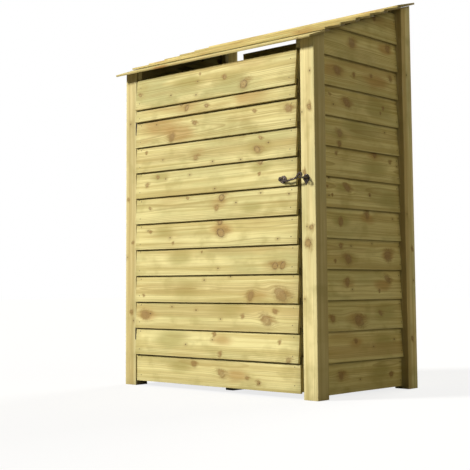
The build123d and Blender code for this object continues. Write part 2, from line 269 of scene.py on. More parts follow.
# %% Colours and scales of the softwood
late_brown = (0.33, 0.215, 0.05, 1)
fibre_brown = (0.30, 0.21, 0.055, 1)
knot_tan = (0.36, 0.235, 0.070, 1)
olive = (0.45, 0.365, 0.11, 1)
resin_rust = (0.46, 0.235, 0.055, 1)
wet_olive = (0.36, 0.31, 0.075, 1)
knot_wood = (0.50, 0.325, 0.10, 1)
knot_rust = (0.275, 0.155, 0.044, 1)
knot_brown = (0.215, 0.13, 0.038, 1)
knot_rim = (0.085, 0.052, 0.018, 1)
# Painted shade: the colour of the shadow painted just under each lap
lap_shade_colour = (0.10, 0.075, 0.022, 1)
end_brown = (0.24, 0.18, 0.065, 1)
end_straw = (0.34, 0.28, 0.10, 1)
# Edge colour: partly the stain that sawn edges take up, partly painted shade that deepens the lap
# lines
edge_brown = (0.26, 0.195, 0.065, 1)

# Repeats in a metre, along the grain and across it
ragged_scale = (95.0, 120.0)
fibre_scale = (11.0, 620.0)
streak_scale = (0.9, 44.0)
wash_scale = (2.6, 15.0)
soak_scale = (2.4, 11.0)
blotch_scale = (9.0, 13.0)
pin_scale = (6.3, 9.0)
saw_scale = (190.0, 6.0)
saw_slant = 25.0
seed_step = 3.17

# Lengths in metres, and how strongly each layer covers the last
stain_stretch = 2.4
stain_cover = 0.62
end_reach = 0.0006
near_end_reach = 0.035
edge_reach = 0.0012
lap_shade_reach = 0.009
relief_height = 0.0005
print("finest fibre repeats every", round(1000 / fibre_scale[1], 1), "mm across the grain")

# %% The treated softwood


def treated_softwood(name, pale, straw, green, tan, contrast=1.0, edge_stain_and_shade=0.45):
    """A solid pattern of rings, streaks, knots and treatment for sawn pine."""
    wood = Finish(name, Specular_IOR_Level=0.28)
    along, across, depth = wood.parts(wood.attribute("grain"))
    half_length, half_width, lap = wood.parts(wood.attribute("reach"))
    seed, greenness, tone = wood.parts(wood.attribute("stock"))
    rimmed, smeared, lap_shade_share = wood.parts(wood.attribute("look"))
    shift = seed * seed_step

    ragged_point = wood.point(along * ragged_scale[0] + shift, across * ragged_scale[1], seed)
    ragged = wood.noise(ragged_point, 3.0) - 0.5
    nearest, plume, flow = knots_and_flow(wood, along, across, ragged)
    late, radius = growth_rings(wood, along, flow, depth, seed, wood.attribute("pith"))

    long, cross = fibre_scale
    fibre = wood.noise(wood.point(along * long + shift, flow * cross, depth * cross), 3.0, 0.65)
    long, cross = streak_scale
    streak_point = wood.point(along * long + shift, flow * cross, depth * cross + seed)
    streak = wood.noise(streak_point, 3.0, 0.6)
    long, cross = wash_scale
    wash = wood.noise(wood.point(along * long, flow * cross + shift, depth * cross), 3.0)
    long, cross = soak_scale
    soak = wood.noise(wood.point(along * long + shift, flow * cross + seed, 3.3), 3.0)
    long, cross = blotch_scale
    blotch = wood.noise(wood.point(along * long + seed, across * cross + shift, 7.7), 3.0)

    # Sapwood, soaked green in places, and the tan heart round the pith
    colour = wood.mix(wood.ease(streak, 0.38, 0.64) * (0.85 * contrast), pale, straw)
    for number in (1, 2):
        stain_along, stain_across, size = wood.parts(wood.attribute(f"stain_{number}"))
        u = (along - stain_along) / (abs(size) * stain_stretch)
        v = (across - stain_across) / abs(size)
        apart = (u * u + v * v) ** 0.5 + (wash + blotch - 1.0) * 0.9
        stain = wood.mix(wood.ease(size, -0.001, 0.001), wet_olive, resin_rust)
        colour = wood.mix(wood.ease(apart, 1.2, 0.3) * stain_cover, colour, stain)
    soaked = wood.ease(soak + (blotch - 0.5) * 0.25, 0.44, 0.66) * (0.3 + greenness * 0.7)
    colour = wood.mix(soaked * 0.75, colour, green)
    heart = wood.ease(radius + (wash - 0.5) * 0.035, 0.040, 0.022)
    colour = wood.mix(heart * (0.25 + tone * 0.45), colour, tan)
    colour = wood.mix(wood.ease(wash, 0.50, 0.74) * (0.18 + tone * 0.55), colour, tan)
    colour = wood.mix(wood.ease(blotch, 0.50, 0.74) * 0.42 * contrast, colour, olive)
    colour = wood.mix(late * (0.28 + 0.16 * contrast), colour, late_brown)
    colour = wood.mix((fibre - 0.5) * 0.65 + 0.07, colour, fibre_brown)

    # Pin knots, one in a few cells of an even scatter
    pin_point = wood.point(along * pin_scale[0] + shift, across * pin_scale[1], seed * 2.3)
    cell = {"Vector": pin_point, "Scale": 1.0, "Randomness": 1.0}
    flat = {"voronoi_dimensions": "2D"}
    pin_apart = wood.node("ShaderNodeTexVoronoi", flat, cell)
    pin_pick = wood.parts(wood.node("ShaderNodeTexVoronoi", flat, cell, "Color"))[0]
    picked = wood.ease(pin_pick, 0.78, 0.80)
    pin = wood.ease(pin_apart + ragged * 0.03, 0.036, 0.016) * picked
    pin_halo = wood.ease(pin_apart + ragged * 0.08, 0.15, 0.03) * picked

    # Knots: a feathery brown plume, a smudged halo, a heart with rings and a broken dark rim
    halo = wood.ease(nearest, 2.7, 0.8)
    body = wood.ease(nearest, 1.04, 0.84)
    own_rings = (nearest * 13.0).apply("SINE") * 0.5 + 0.5
    broken = wood.ease(wash + ragged * 0.9, 0.34, 0.58)
    rim = wood.ease(nearest, 0.70, 0.94) * wood.ease(nearest, 1.22, 1.0) * (0.15 + broken * 0.7)
    feather = wood.ease(plume, 1.0, 0.2) * wood.ease(fibre + streak * 0.6, 0.50, 0.90)
    smudge = halo ** 1.6 * (0.45 + wood.ease(streak, 0.38, 0.62) * 0.55)
    colour = wood.mix(feather * 0.7 + smudge * 0.8 + pin_halo * 0.35, colour, knot_tan)
    smear = wood.ease(nearest + (wash - 0.5) * 2.4 + ragged * 0.6, 1.7, 0.5) * smeared
    colour = wood.mix(smear * (0.35 + wood.ease(fibre, 0.35, 0.60) * 0.5), colour, knot_rust)
    colour = wood.mix(body * rimmed * 0.6, colour, knot_wood)
    colour = wood.mix(body * own_rings * (0.2 + rimmed * 0.3), colour, knot_brown)
    colour = wood.mix(rim * rimmed + pin * 0.8, colour, knot_rim)

    # End grain drinks more and looks darker, sawn edges take up more stain and get painted shade too,
    # and painted shade lies under each lap
    from_end = half_length - abs(along)
    colour = wood.mix(wood.ease(from_end, end_reach, 0.0001) * 0.5, colour, end_brown)
    colour = wood.mix(wood.ease(from_end, near_end_reach, 0.0) * wash * 0.4, colour, end_straw)
    # Sawn edges darkened: partly real stain, partly painted shade on the board edges
    edge = wood.ease(half_width - abs(across), edge_reach, 0.0003)
    colour = wood.mix(edge * edge_stain_and_shade, colour, edge_brown)
    # Painted shade: a band just under each lap is darkened where the lap above would shade it
    painted_lap_shade = wood.ease(half_width - across - lap, lap_shade_reach, 0.001)
    colour = wood.mix(painted_lap_shade * lap_shade_share, colour, lap_shade_colour)

    wood.feed("Base Color", colour)
    wood.feed("Roughness", fibre * 0.22 + 0.62 - body * 0.12)
    long, cross = saw_scale
    sawing = wood.noise(wood.point(along * long + across * saw_slant, across * cross, seed), 1.0)
    relief = late * 0.4 + fibre * 0.5 + sawing * 0.3 + body * 0.5 - rim * 0.35
    wood.raise_surface(relief, relief_height)
    return wood.material


board_wood = treated_softwood(
    "treated_board",
    pale=(0.88, 0.79, 0.365, 1),
    straw=(0.62, 0.51, 0.185, 1),
    green=(0.52, 0.50, 0.205, 1),
    tan=(0.50, 0.34, 0.11, 1),
)
roof_wood = treated_softwood(
    "treated_roof",
    pale=(0.88, 0.76, 0.34, 1),
    straw=(0.60, 0.48, 0.18, 1),
    green=(0.46, 0.465, 0.20, 1),
    tan=(0.50, 0.32, 0.105, 1),
    edge_stain_and_shade=0.0,
)
frame_wood = treated_softwood(
    "treated_frame",
    pale=(0.96, 0.85, 0.42, 1),
    straw=(0.66, 0.54, 0.215, 1),
    green=(0.60, 0.60, 0.29, 1),
    tan=(0.56, 0.39, 0.14, 1),
)
print("wood finishes", [m.name for m in (board_wood, roof_wood, frame_wood)])

# %% [markdown]
# ## Black iron and nails
#
# The cabin hook is black lacquered iron: nearly black, with a mottled gloss and a thin clear coat
# that catches the key light. The nails were dipped in zinc, but the treatment has stained them,
# so they are a dull brownish grey that hardly stands out from the boards.

# %% Metal finishes
cast_relief = 0.0003


def iron(name, dark, light, roughness, mottle, **steady):
    """A metal with a mottled coat that changes in gloss more than in colour."""
    metal = Finish(name, **steady)
    place = metal.node("ShaderNodeTexCoord", {}, {}, "Object")
    scaled = metal.node("ShaderNodeVectorMath", {"operation": "SCALE"}, {0: place, 3: mottle})
    cast = metal.noise(scaled, 4.0, 0.6)
    metal.feed("Base Color", metal.mix(metal.ease(cast, 0.35, 0.75), dark, light))
    metal.feed("Roughness", cast * 0.25 + roughness)
    metal.raise_surface(cast, cast_relief)
    return metal.material


black_iron = iron(
    "black_lacquered_iron",
    dark=(0.030, 0.021, 0.016, 1),
    light=(0.135, 0.105, 0.088, 1),
    roughness=0.13,
    mottle=260.0,
    Metallic=0.95,
    Coat_Weight=0.3,
    Coat_Roughness=0.1,
)
zinc = iron(
    "dulled_nails",
    dark=(0.24, 0.19, 0.09, 1),
    light=(0.38, 0.32, 0.16, 1),
    roughness=0.55,
    mottle=900.0,
    Specular_IOR_Level=0.15,
)

# %% [markdown]
# ## The stock
#
# Every timber starts as the model's own solid, copied and merged, so it is the right size in
# the right place before any work is done. Its axes are read from its edges: along the grain,
# across it, and through it. The finish needs these later for its rings and knots.

# %% Copy a solid and measure it
merge_distance = 0.00002
flat_angle = math.radians(1)


def take(piece):
    """Makes the piece the only selected one, and active."""
    bpy.ops.object.select_all(action="DESELECT")
    piece.select_set(True)
    bpy.context.view_layer.objects.active = piece


def rough_timbers(node, name):
    """Merged copies of a node's solids, lowest first, named name_1, name_2 and so on."""
    piece = bpy.data.objects.new(name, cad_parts[node].data.copy())
    bpy.context.collection.objects.link(piece)
    piece.data.materials.clear()
    take(piece)
    bpy.ops.object.mode_set(mode="EDIT")
    bpy.ops.mesh.select_all(action="SELECT")
    bpy.ops.mesh.remove_doubles(threshold=merge_distance)
    bpy.ops.mesh.dissolve_limited(angle_limit=flat_angle)
    bpy.ops.mesh.separate(type="LOOSE")
    bpy.ops.object.mode_set(mode="OBJECT")
    found = sorted(bpy.context.selected_objects, key=lowest)
    for number, timber in enumerate(found, start=1):
        timber.name = f"{name}_{number}" if len(found) > 1 else name
    return found


def lowest(piece):
    """Sorts solids by height, and those that lie level by depth."""
    corner = [min(v.co[axis] for v in piece.data.vertices) for axis in (2, 1)]
    return (round(corner[0], 4), corner[1])


class Stock:
    """A timber's own axes, its middle and its half sizes."""

    def __init__(self, piece, along=None):
        points = [v.co for v in piece.data.vertices]
        runs = [points[e.vertices[1]] - points[e.vertices[0]] for e in piece.data.edges]
        self.along = along or max(runs, key=lambda run: run.length).normalized()
        square = [run for run in runs if abs(run.normalized().dot(self.along)) < 0.02]
        across = max(square, key=lambda run: run.length).normalized()
        if sum(across) < 0:
            across = -across
        self.depth = self.along.cross(across).normalized()
        self.across = self.depth.cross(self.along)
        self.axes = (self.along, self.across, self.depth)
        spans = [[p.dot(axis) for p in points] for axis in self.axes]
        self.half = [(max(s) - min(s)) / 2 for s in spans]
        centre = [(max(s) + min(s)) / 2 for s in spans]
        self.middle = sum((axis * c for axis, c in zip(self.axes, centre)), Vector())

    def place(self, along, across, depth):
        """A point of the row frame from distances along the three axes."""
        steps = zip(self.axes, (along, across, depth))
        return self.middle + sum((axis * step for axis, step in steps), Vector())


# %% [markdown]
# ## Working a timber
#
# A sawn board has a slight arris, it is never quite flat, and it is cut into short lengths of
# mesh so that it can bow. The cuts are made by subdividing the edges that run one way, the
# arris is a Bevel modifier, and the bow is a Displace modifier with a slow cloud texture that
# is moved for each board, so no two boards are bent alike.

# %% Cuts, arris and bow
warp_cloud = bpy.data.textures.new("timber_warp", "CLOUDS")
warp_cloud.noise_scale = 0.34
warp_cloud.noise_depth = 1
bpy.ops.object.empty_add(location=(0, 0, 0))
warp_place = bpy.context.object
warp_place.name = "warp_place"


def cut_across(piece, axis, cuts):
    """Subdivides the edges that run along an axis."""
    if cuts < 1:
        return
    take(piece)
    bpy.ops.object.mode_set(mode="EDIT")
    bpy.ops.mesh.select_mode(type="EDGE")
    bpy.ops.mesh.select_all(action="DESELECT")
    bpy.ops.object.mode_set(mode="OBJECT")
    mesh = piece.data
    for edge in mesh.edges:
        run = mesh.vertices[edge.vertices[1]].co - mesh.vertices[edge.vertices[0]].co
        edge.select = abs(run.normalized().dot(axis)) > 0.9
    bpy.ops.object.mode_set(mode="EDIT")
    bpy.ops.mesh.subdivide(number_cuts=cuts)
    bpy.ops.object.mode_set(mode="OBJECT")


def finish_modifier(piece, kind, **settings):
    """Adds one modifier and applies it."""
    take(piece)
    modifier = piece.modifiers.new(kind.lower(), kind)
    for setting, value in settings.items():
        setattr(modifier, setting, value)
    bpy.ops.object.modifier_apply(modifier=modifier.name)


def arris(piece, width, segments=2):
    """Takes the sharpness off every corner."""
    settings = {"width": width, "segments": segments, "limit_method": "ANGLE"}
    finish_modifier(piece, "BEVEL", angle_limit=math.radians(40), harden_normals=False, **settings)


def bow(piece, draw, direction, strength):
    """Bends the timber a little along one axis of the row frame."""
    warp_place.location = [draw.uniform(-9, 9) for _ in range(3)]
    bpy.context.view_layer.update()
    finish_modifier(
        piece,
        "DISPLACE",
        texture=warp_cloud,
        texture_coords="OBJECT",
        texture_coords_object=warp_place,
        direction=direction,
        strength=strength,
        mid_level=0.5,
    )


# %% Grain marks on a timber
far_off = (9.0, 9.0, 0.001)


def write_vectors(mesh, name, values):
    """Stores one vector for each point of the mesh."""
    layer = mesh.attributes.new(name, "FLOAT_VECTOR", "POINT")
    layer.data.foreach_set("vector", [number for value in values for number in value])


def mark_grain(piece, stock, draw, knots, greenness, tone, lap=-1.0, stains=(), look=None):
    """Tells the finish where each point lies in its timber, and what the timber is like."""
    mesh = piece.data
    steps = [v.co - stock.middle for v in mesh.vertices]
    write_vectors(mesh, "grain", [[step.dot(axis) for axis in stock.axes] for step in steps])
    pith_behind = draw.choice((-1, 1)) * draw.uniform(0.016, 0.07)
    pith = (draw.uniform(-0.05, 0.05), pith_behind, draw.uniform(0.0035, 0.0058))
    constants = {
        "reach": (stock.half[0], stock.half[1], lap),
        "stock": (draw.uniform(0, 40), greenness, tone),
        "pith": pith,
        "look": look or (draw.uniform(0.4, 0.9), draw.uniform(0.1, 0.8), 0.6),
    }
    for number in range(2):
        constants[f"stain_{number + 1}"] = stains[number] if number < len(stains) else far_off
    for number in range(knot_slots):
        constants[f"knot_{number + 1}"] = knots[number] if number < len(knots) else far_off
    for name, value in constants.items():
        write_vectors(mesh, name, [value] * len(mesh.vertices))


chance_radii = (0.005, 0.006, 0.008, 0.010, 0.013)


def random_knots(draw, stock, most):
    """A few knots at chance places, kept off the edges and ends."""
    found = []
    for _ in range(draw.randint(0, most)):
        radius = draw.choice(chance_radii)
        radius = min(radius, stock.half[1] * 0.42)
        along = draw.uniform(-0.93, 0.93) * stock.half[0]
        across = draw.uniform(-0.65, 0.65) * stock.half[1]
        found.append((along, across, radius))
    return found


# %% [markdown]
# ## Lapped boards
#
# Twelve boards make the door, thirteen each wall. Each gets its own cuts, arris, bow, knots and
# tint, and the door and right wall boards their stains too. The knots that show on the door and
# on the right wall are laid where the real ones are, in millimetres along and across from the
# middle of the board, with their radius. A tint is a share of green and a share of heartwood tan.
# All other boards draw their knots and tints by chance, the same on every run.

# %% Knots that show
door_knots = {
    1: [(50, -15, 13), (200, -25, 7), (265, -42, 8), (-118, 20, 9)],
    2: [(15, 32, 8), (390, 10, 7), (55, -54, 9), (440, -64, 9)],
    3: [(318, -23, 17), (364, 14, 7), (186, -9, 7), (-431, -12, 16)],
    4: [(400, -38, 21), (235, -45, 16), (-435, -44, 5)],
    5: [(372, -41, 13), (413, -39, 13), (-60, 30, 4)],
    6: [(51, 38, 12), (58, -12, 16), (-237, -48, 5), (-396, 9, 5)],
    7: [(62, 22, 13), (37, -22, 10), (-151, 32, 5), (-397, -3, 5)],
    8: [(288, -11, 6), (292, 44, 12), (-344, 21, 7), (-417, -12, 8)],
    9: [(291, 23, 6), (278, -29, 12), (-93, -31, 10), (-423, 20, 6)],
    10: [(-245, -47, 15), (-105, 9, 8), (450, 9, 12), (259, 20, 5)],
    11: [(-187, 11, 6), (-148, -10, 11), (-24, -14, 7)],
    12: [(204, -37, 17), (87, 11, 8), (-68, 48, 5), (-465, -1, 7)],
}
right_wall_knots = {
    1: [(-165, -1, 12), (208, -15, 8)],
    2: [(-60, 10, 7)],
    3: [(-39, -36, 20), (-227, -21, 11), (126, -5, 8)],
    4: [(-118, 1, 13), (187, 16, 12), (117, -37, 6)],
    5: [(-111, -31, 16), (-159, 24, 8), (-205, -40, 6), (190, -11, 19)],
    6: [(-157, -3, 12), (42, 39, 14)],
    7: [(-109, 17, 12), (-250, 15, 4), (-217, -21, 5), (61, -4, 5)],
    8: [(-182, 30, 6), (225, 24, 7), (110, 49, 13)],
    9: [(-158, -12, 13), (-165, -60, 10)],
    10: [(-104, -3, 14), (-224, 21, 5), (178, 4, 6), (153, -21, 5)],
    11: [(-168, -1, 14), (-44, -3, 8), (89, 10, 7), (244, 20, 11)],
    12: [(-58, 5, 16), (224, 27, 12)],
    13: [(60, 20, 8)],
}


def in_metres(knots, swell=1.0):
    """The same knots in metres, with their radii made larger by swell."""
    return [(along / 1000, across / 1000, radius * swell / 1000) for along, across, radius in knots]


# %% Boards of a course
door_tints = {
    1: (0.5, 0.2), 2: (0.3, 0.1), 3: (0.3, 0.35), 4: (0.1, 0.1), 5: (0.6, 0.1), 6: (0.2, 0.4),
    7: (0.2, 0.45), 8: (0.4, 0.1), 9: (0.7, 0.15), 10: (0.5, 0.8), 11: (0.1, 1.0), 12: (1.0, 0.5),
}
right_wall_tints = {
    1: (0.3, 0.4), 2: (0.4, 0.7), 3: (0.2, 0.2), 4: (0.5, 0.3), 5: (0.6, 0.3), 6: (0.3, 0.6),
    7: (0.4, 0.3), 8: (0.2, 0.5), 9: (0.7, 0.2), 10: (0.4, 0.4), 11: (0.1, 1.0), 12: (0.5, 0.3),
    13: (0.2, 0.2),
}
# Stains are given as the knots are: rust where the size is positive, wet olive where not
door_stains = {
    12: [(110, -5, -42), (-150, 10, -50)],
    11: [(-150, 2, 44), (250, 5, 50)],
    10: [(-330, 15, 60), (-200, -35, 44)],
    9: [(285, -10, -40), (-90, -10, 22)],
    8: [(290, 20, -30), (-330, 20, -30)],
    7: [(40, 0, 26), (240, -30, -30)],
    6: [(60, 5, 30), (-300, 0, -36)],
    5: [(-200, 10, -40), (380, -35, 30)],
    4: [(-150, -10, -50), (260, -40, 34)],
    3: [(100, 20, -45), (-420, -10, 30)],
    2: [(-260, 0, -50), (60, 10, 30)],
    1: [(150, -20, 34), (-200, 10, -40)],
}
right_wall_stains = {
    13: [(-120, 20, -40), (100, 10, 30)],
    12: [(-58, 0, 22), (205, 20, 26)],
    11: [(-190, -2, 36), (110, -8, 46)],
    10: [(-104, 0, 26), (140, 0, -50)],
    9: [(-158, -20, -30), (-30, 20, -50)],
    8: [(105, 40, 24), (90, -10, -44)],
    7: [(210, -20, -46), (-140, 10, -26)],
    6: [(48, 20, 26), (-150, 0, -26)],
    5: [(190, -10, 24), (-110, -25, -36)],
    4: [(150, -10, 30), (-118, 0, 22)],
    3: [(-60, -30, 34), (170, 0, -44)],
    2: [(-60, 0, 26), (150, 0, -40)],
    1: [(-165, 0, 26), (120, 0, -40)],
}
door_lap = 0.0253
side_lap = 0.0176
back_lap = 0.0202
roof_lap = 0.030
knot_swell = 1.1
board_arris = 0.0009
bow_outward = 0.0016
bow_upward = 0.0022
cut_spacing = 0.12
cuts_over_width = 2
axis_names = ("X", "Y", "Z")


def work_board(board, along, wood, body, node, lap, knots=None, tint=None, stains=None, look=None):
    """Takes one rough board to a finished one and hangs it on its body."""
    draw = random.Random(board.name)
    stock = Stock(board, along)
    cut_across(board, stock.along, int(2 * stock.half[0] / cut_spacing))
    cut_across(board, stock.across, cuts_over_width)
    arris(board, board_arris)
    knots = in_metres(knots, knot_swell) if knots else random_knots(draw, stock, 4)
    greenness, tone = tint or (draw.uniform(0.0, 1.0), draw.uniform(0.0, 0.8))
    mark_grain(board, stock, draw, knots, greenness, tone, lap, in_metres(stains or ()), look)
    if "roof" not in board.name:
        outward = axis_names[max(range(3), key=lambda axis: abs(stock.depth[axis]))]
        bow(board, draw, outward, bow_outward)
        bow(board, draw, "Z", bow_upward)
    dress(board, wood, body, node)
    return stock


def dress(piece, finish, body, *nodes):
    """Shades a finished piece, gives it its finish and hangs it on its body."""
    take(piece)
    bpy.ops.object.shade_smooth_by_angle(angle=math.radians(30))
    piece.data.materials.clear()
    piece.data.materials.append(finish)
    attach(piece, body)
    if nodes:
        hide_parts(*nodes)


along_x = Vector((1, 0, 0))
along_y = Vector((0, 1, 0))
along_z = Vector((0, 0, 1))

# %% The four courses
stocks = {}
# A look is how dark the rims of the knots are, how smeared the knots, and how dark the painted shade
# under the lap
ringed = (0.8, 0.2, 0.95)
smudged = (0.3, 0.75, 0.95)
smeared = (0.3, 1.0, 0.25)
smudged_boards = (1, 2, 3, 4, 10)
door_looks = {number: smudged if number in smudged_boards else ringed for number in door_knots}
right_wall_looks = dict.fromkeys(right_wall_knots, smeared)
door_marks = (door_knots, door_tints, door_stains, door_looks)
right_marks = (right_wall_knots, right_wall_tints, right_wall_stains, right_wall_looks)
by_chance = ({}, {}, {}, {})
courses = (
    ("door_boards", "door_board", along_x, "door", door_lap, door_marks),
    ("right_wall_boards", "right_wall_board", along_y, "root", side_lap, right_marks),
    ("left_wall_boards", "left_wall_board", along_y, "root", side_lap, by_chance),
    ("back_wall_boards", "back_wall_board", along_x, "root", back_lap, by_chance),
)
for node, name, along, body, lap, (knots, tints, stains, looks) in courses:
    boards = rough_timbers(node, name)
    for number, board in enumerate(boards, start=1):
        marks = [table.get(number) for table in (knots, tints, stains, looks)]
        open_lap = lap if number < len(boards) else -1.0
        stocks[board.name] = work_board(board, along, board_wood, body, node, open_lap, *marks)
    print(name, len(boards), "boards,", sum(len(b.data.polygons) for b in boards), "faces")

# %% [markdown]
# ## Roof boards
#
# The roof boards are the same stock, lapped from the front up. Each is a node of its own. Their
# lower edges are what shows from the ground, so those get two chance stains of resin each.

# %% The roof
roof_count = 7
roof_stain_spread = 560
roof_stain_across = -62
roof_stain_sizes = (14, 34)
roof_draw = random.Random("roof stains")


def roof_stain():
    """A chance stain on the lower edge of a roof board."""
    along = roof_draw.uniform(-roof_stain_spread, roof_stain_spread)
    return (along, roof_stain_across, roof_draw.uniform(*roof_stain_sizes))


for number in range(1, roof_count + 1):
    node = f"roof_board_{number}"
    board = rough_timbers(node, f"{node}_sawn")[0]
    open_lap = roof_lap if number < roof_count else -1.0
    stains = [roof_stain(), roof_stain()]
    stocks[board.name] = work_board(
        board, along_x, roof_wood, "root", node, open_lap, stains=stains
    )
print("roof board length", round(2 * stocks["roof_board_1_sawn"].half[0], 3))

# %% [markdown]
# ## Posts and framing
#
# The posts are planed square with eased corners. The rafters, battens, rails and the door's
# own frame are rougher. They all come from the same finish, with the grain along their length.

# %% Posts, rafters, battens and rails
post_ease = 0.0008
rough_ease = 0.0012
post_knots = {
    "post_front_right": [(440, 10, 9), (-125, -5, 15), (-60, 14, 10), (170, -20, 7)],
    "post_front_left": [(120, -20, 7), (-90, 12, 7), (-420, 4, 9)],
}
post_tints = {
    "post_front_right": (0.35, 0.0),
    "post_front_left": (0.25, 0.15),
    "post_back_right": (0.6, 0.6),
}


def work_timber(node, along, body, ease_width, knots=None, tint=None):
    """Takes a framing timber from its node's solid to a finished piece."""
    for timber in rough_timbers(node, f"{node}_timber"):
        draw = random.Random(timber.name)
        stock = Stock(timber, along)
        cut_across(timber, stock.along, int(2 * stock.half[0] / (2 * cut_spacing)))
        arris(timber, ease_width)
        own_knots = in_metres(knots) if knots else random_knots(draw, stock, 3)
        greenness, tone = tint or (draw.uniform(0, 0.7), draw.uniform(0, 0.6))
        mark_grain(timber, stock, draw, own_knots, greenness, tone)
        dress(timber, frame_wood, body, node)
        stocks[timber.name] = stock


for side in ("left", "right"):
    for end in ("front", "back"):
        post = f"post_{end}_{side}"
        work_timber(post, along_z, "root", post_ease, post_knots.get(post), post_tints.get(post))
        work_timber(f"{side}_wall_batten_{end}", along_z, "root", rough_ease)
    work_timber(f"{side}_rafter", None, "root", rough_ease)
    work_timber(f"{side}_bottom_rail", along_y, "root", rough_ease)
for place in ("left", "middle", "right"):
    work_timber(f"back_wall_batten_{place}", along_z, "root", rough_ease)
work_timber("back_bottom_rail", along_x, "root", rough_ease)
work_timber("floor_slats", along_x, "root", rough_ease)
work_timber("floor_bearer", along_y, "root", rough_ease)
work_timber("door_stop", along_z, "root", rough_ease)
for edge in ("hinge", "latch"):
    work_timber(f"door_stile_{edge}", along_z, "door", rough_ease)
for place in ("bottom", "middle", "top"):
    work_timber(f"door_rail_{place}", along_x, "door", rough_ease)
for place in ("lower", "upper"):
    work_timber(f"door_brace_{place}", None, "door", rough_ease)
print("framing timbers", sum(name.endswith("timber") for name in stocks))

# %% [markdown]
# ## Nails
#
# Two galvanised nails hold each board at each thing it crosses. A nail head could be a bump in
# the finish, but then it would not be in the mesh, so it is a real low dome: a short cylinder,
# inset and pushed up, made once. Each copy is set where a ray from outside meets the finished
# board, so it sits on the bowed face, and all the heads of a course are then joined.

# %% One nail head
nail_radius = 0.0027
nail_stands = 0.0006
nail_sunk = 0.0006


def bed_disc(name, radius, stands, sunk, sides):
    """A round head whose own origin lies on the surface that it sits in."""
    middle = (0, 0, (stands - sunk) / 2)
    bpy.ops.mesh.primitive_cylinder_add(
        vertices=sides, radius=radius, depth=stands + sunk, location=middle
    )
    head = bpy.context.object
    head.name = name
    bpy.ops.object.transform_apply(location=True)
    top = [face for face in head.data.polygons if face.normal.z > 0.9]
    for part in (head.data.vertices, head.data.edges, head.data.polygons):
        part.foreach_set("select", [False] * len(part))
    top[0].select = True
    bpy.ops.object.mode_set(mode="EDIT")
    bpy.ops.mesh.select_mode(type="FACE")
    return head


nail = bed_disc("nail_master", nail_radius, nail_stands, nail_sunk, 12)
bpy.ops.mesh.inset(thickness=nail_radius * 0.35)
bpy.ops.transform.translate(value=(0, 0, nail_stands * 0.5))
bpy.ops.object.mode_set(mode="OBJECT")
print("nail head faces", len(nail.data.polygons))

# %% Set copies of a head on a face
ray_start = 0.05
ray_length = 0.1


def head_on(master, board, point, outward):
    """A copy of a head where a ray from outside meets the board, or None."""
    start = point + outward * ray_start
    hit, place, normal, _ = board.ray_cast(start, -outward, distance=ray_length)
    if not hit:
        return None
    turn = normal.to_track_quat("Z", "Y").to_matrix().to_4x4()
    copy = bpy.data.objects.new(master.name, master.data.copy())
    copy.data.transform(Matrix.Translation(place) @ turn)
    bpy.context.collection.objects.link(copy)
    return copy


def join_heads(heads, name, finish, body):
    """Joins the copies into one piece on one body."""
    bpy.ops.object.select_all(action="DESELECT")
    for head in heads:
        head.select_set(True)
    bpy.context.view_layer.objects.active = heads[0]
    bpy.ops.object.join()
    piece = bpy.context.object
    piece.name = name
    dress(piece, finish, body)
    print(name, len(heads), "heads,", len(piece.data.polygons), "faces")


# %% Nail every course
door_frame_inset = 0.030
batten_inset = 0.0125
back_inset = 0.010
post_inset = 0.055
rafter_inset = 0.1065
nail_rows = (-0.62, 0.45)
nail_stray = 0.003
nail_drift = 0.06
nailing = (
    ("door_board", 12, "door", -along_y, [door_frame_inset]),
    ("right_wall_board", 13, "root", along_x, [batten_inset]),
    ("left_wall_board", 13, "root", -along_x, [batten_inset]),
    ("back_wall_board", 13, "root", along_y, [back_inset, None]),
    ("roof_board", roof_count, "root", along_z, [post_inset, rafter_inset]),
)
nail_draw = random.Random("nails")
for course, count, body, outward, insets in nailing:
    heads = []
    for number in range(1, count + 1):
        name = f"{course}_{number}" + ("_sawn" if course == "roof_board" else "")
        board, stock = bpy.data.objects[name], stocks[name]
        out_sign = 1 if stock.depth.dot(outward) > 0 else -1
        for inset in insets:
            ends = (0,) if inset is None else (inset - stock.half[0], stock.half[0] - inset)
            for end in ends:
                for row in nail_rows:
                    along = end + nail_draw.uniform(-nail_stray, nail_stray)
                    across = (row + nail_draw.uniform(-nail_drift, nail_drift)) * stock.half[1]
                    point = stock.place(along, across, out_sign * stock.half[2])
                    heads.append(head_on(nail, board, point, outward))
    join_heads([head for head in heads if head], f"{course}_nails", zinc, body)
bpy.data.objects.remove(nail)

# %% [markdown]
# ## Hinges and hook
#
# The iron parts keep the model's own shapes: leaves and knuckles, the two roses, the staple and
# the hook with its twisted bar. What they lack is screws. A screw head is a wider disc whose
# middle is inset and pushed down for the driver. They are set by the same ray as the nails.

# %% One screw head
screw_radius = 0.0036
screw_stands = 0.0009
screw_sunk = 0.0006
screw_ring = screw_radius * 0.3

screw = bed_disc("screw_master", screw_radius, screw_stands, screw_sunk, 16)
bpy.ops.mesh.inset(thickness=screw_ring)
bpy.ops.transform.translate(value=(0, 0, screw_stands * 0.4))
bpy.ops.mesh.inset(thickness=screw_ring)
bpy.ops.transform.translate(value=(0, 0, -screw_stands))
bpy.ops.object.mode_set(mode="OBJECT")
print("screw head faces", len(screw.data.polygons))

# %% Black the iron parts and screw them on
leaf_screw_heights = (-0.026, 0.0, 0.026)
leaf_screw_inset = 0.010
rose_reach = 0.017
door_screw_angles = (math.radians(115), math.radians(-65))
door_screw_step = 0.0115
post_screw_heights = (0.0105, -0.0125)

iron_starts = ("hinge_", "door_hook", "post_hook", "cabin")
for node in [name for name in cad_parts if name.startswith(iron_starts)]:
    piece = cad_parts[node]
    piece.data.materials.clear()
    piece.data.materials.append(black_iron)


screw_sets = {"root": [], "door": []}


def add_screw(body, node, point, outward):
    """One screw in an iron node, kept with the others of its body."""
    head = head_on(screw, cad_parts[node], point, outward)
    if head:
        screw_sets[body].append(head)


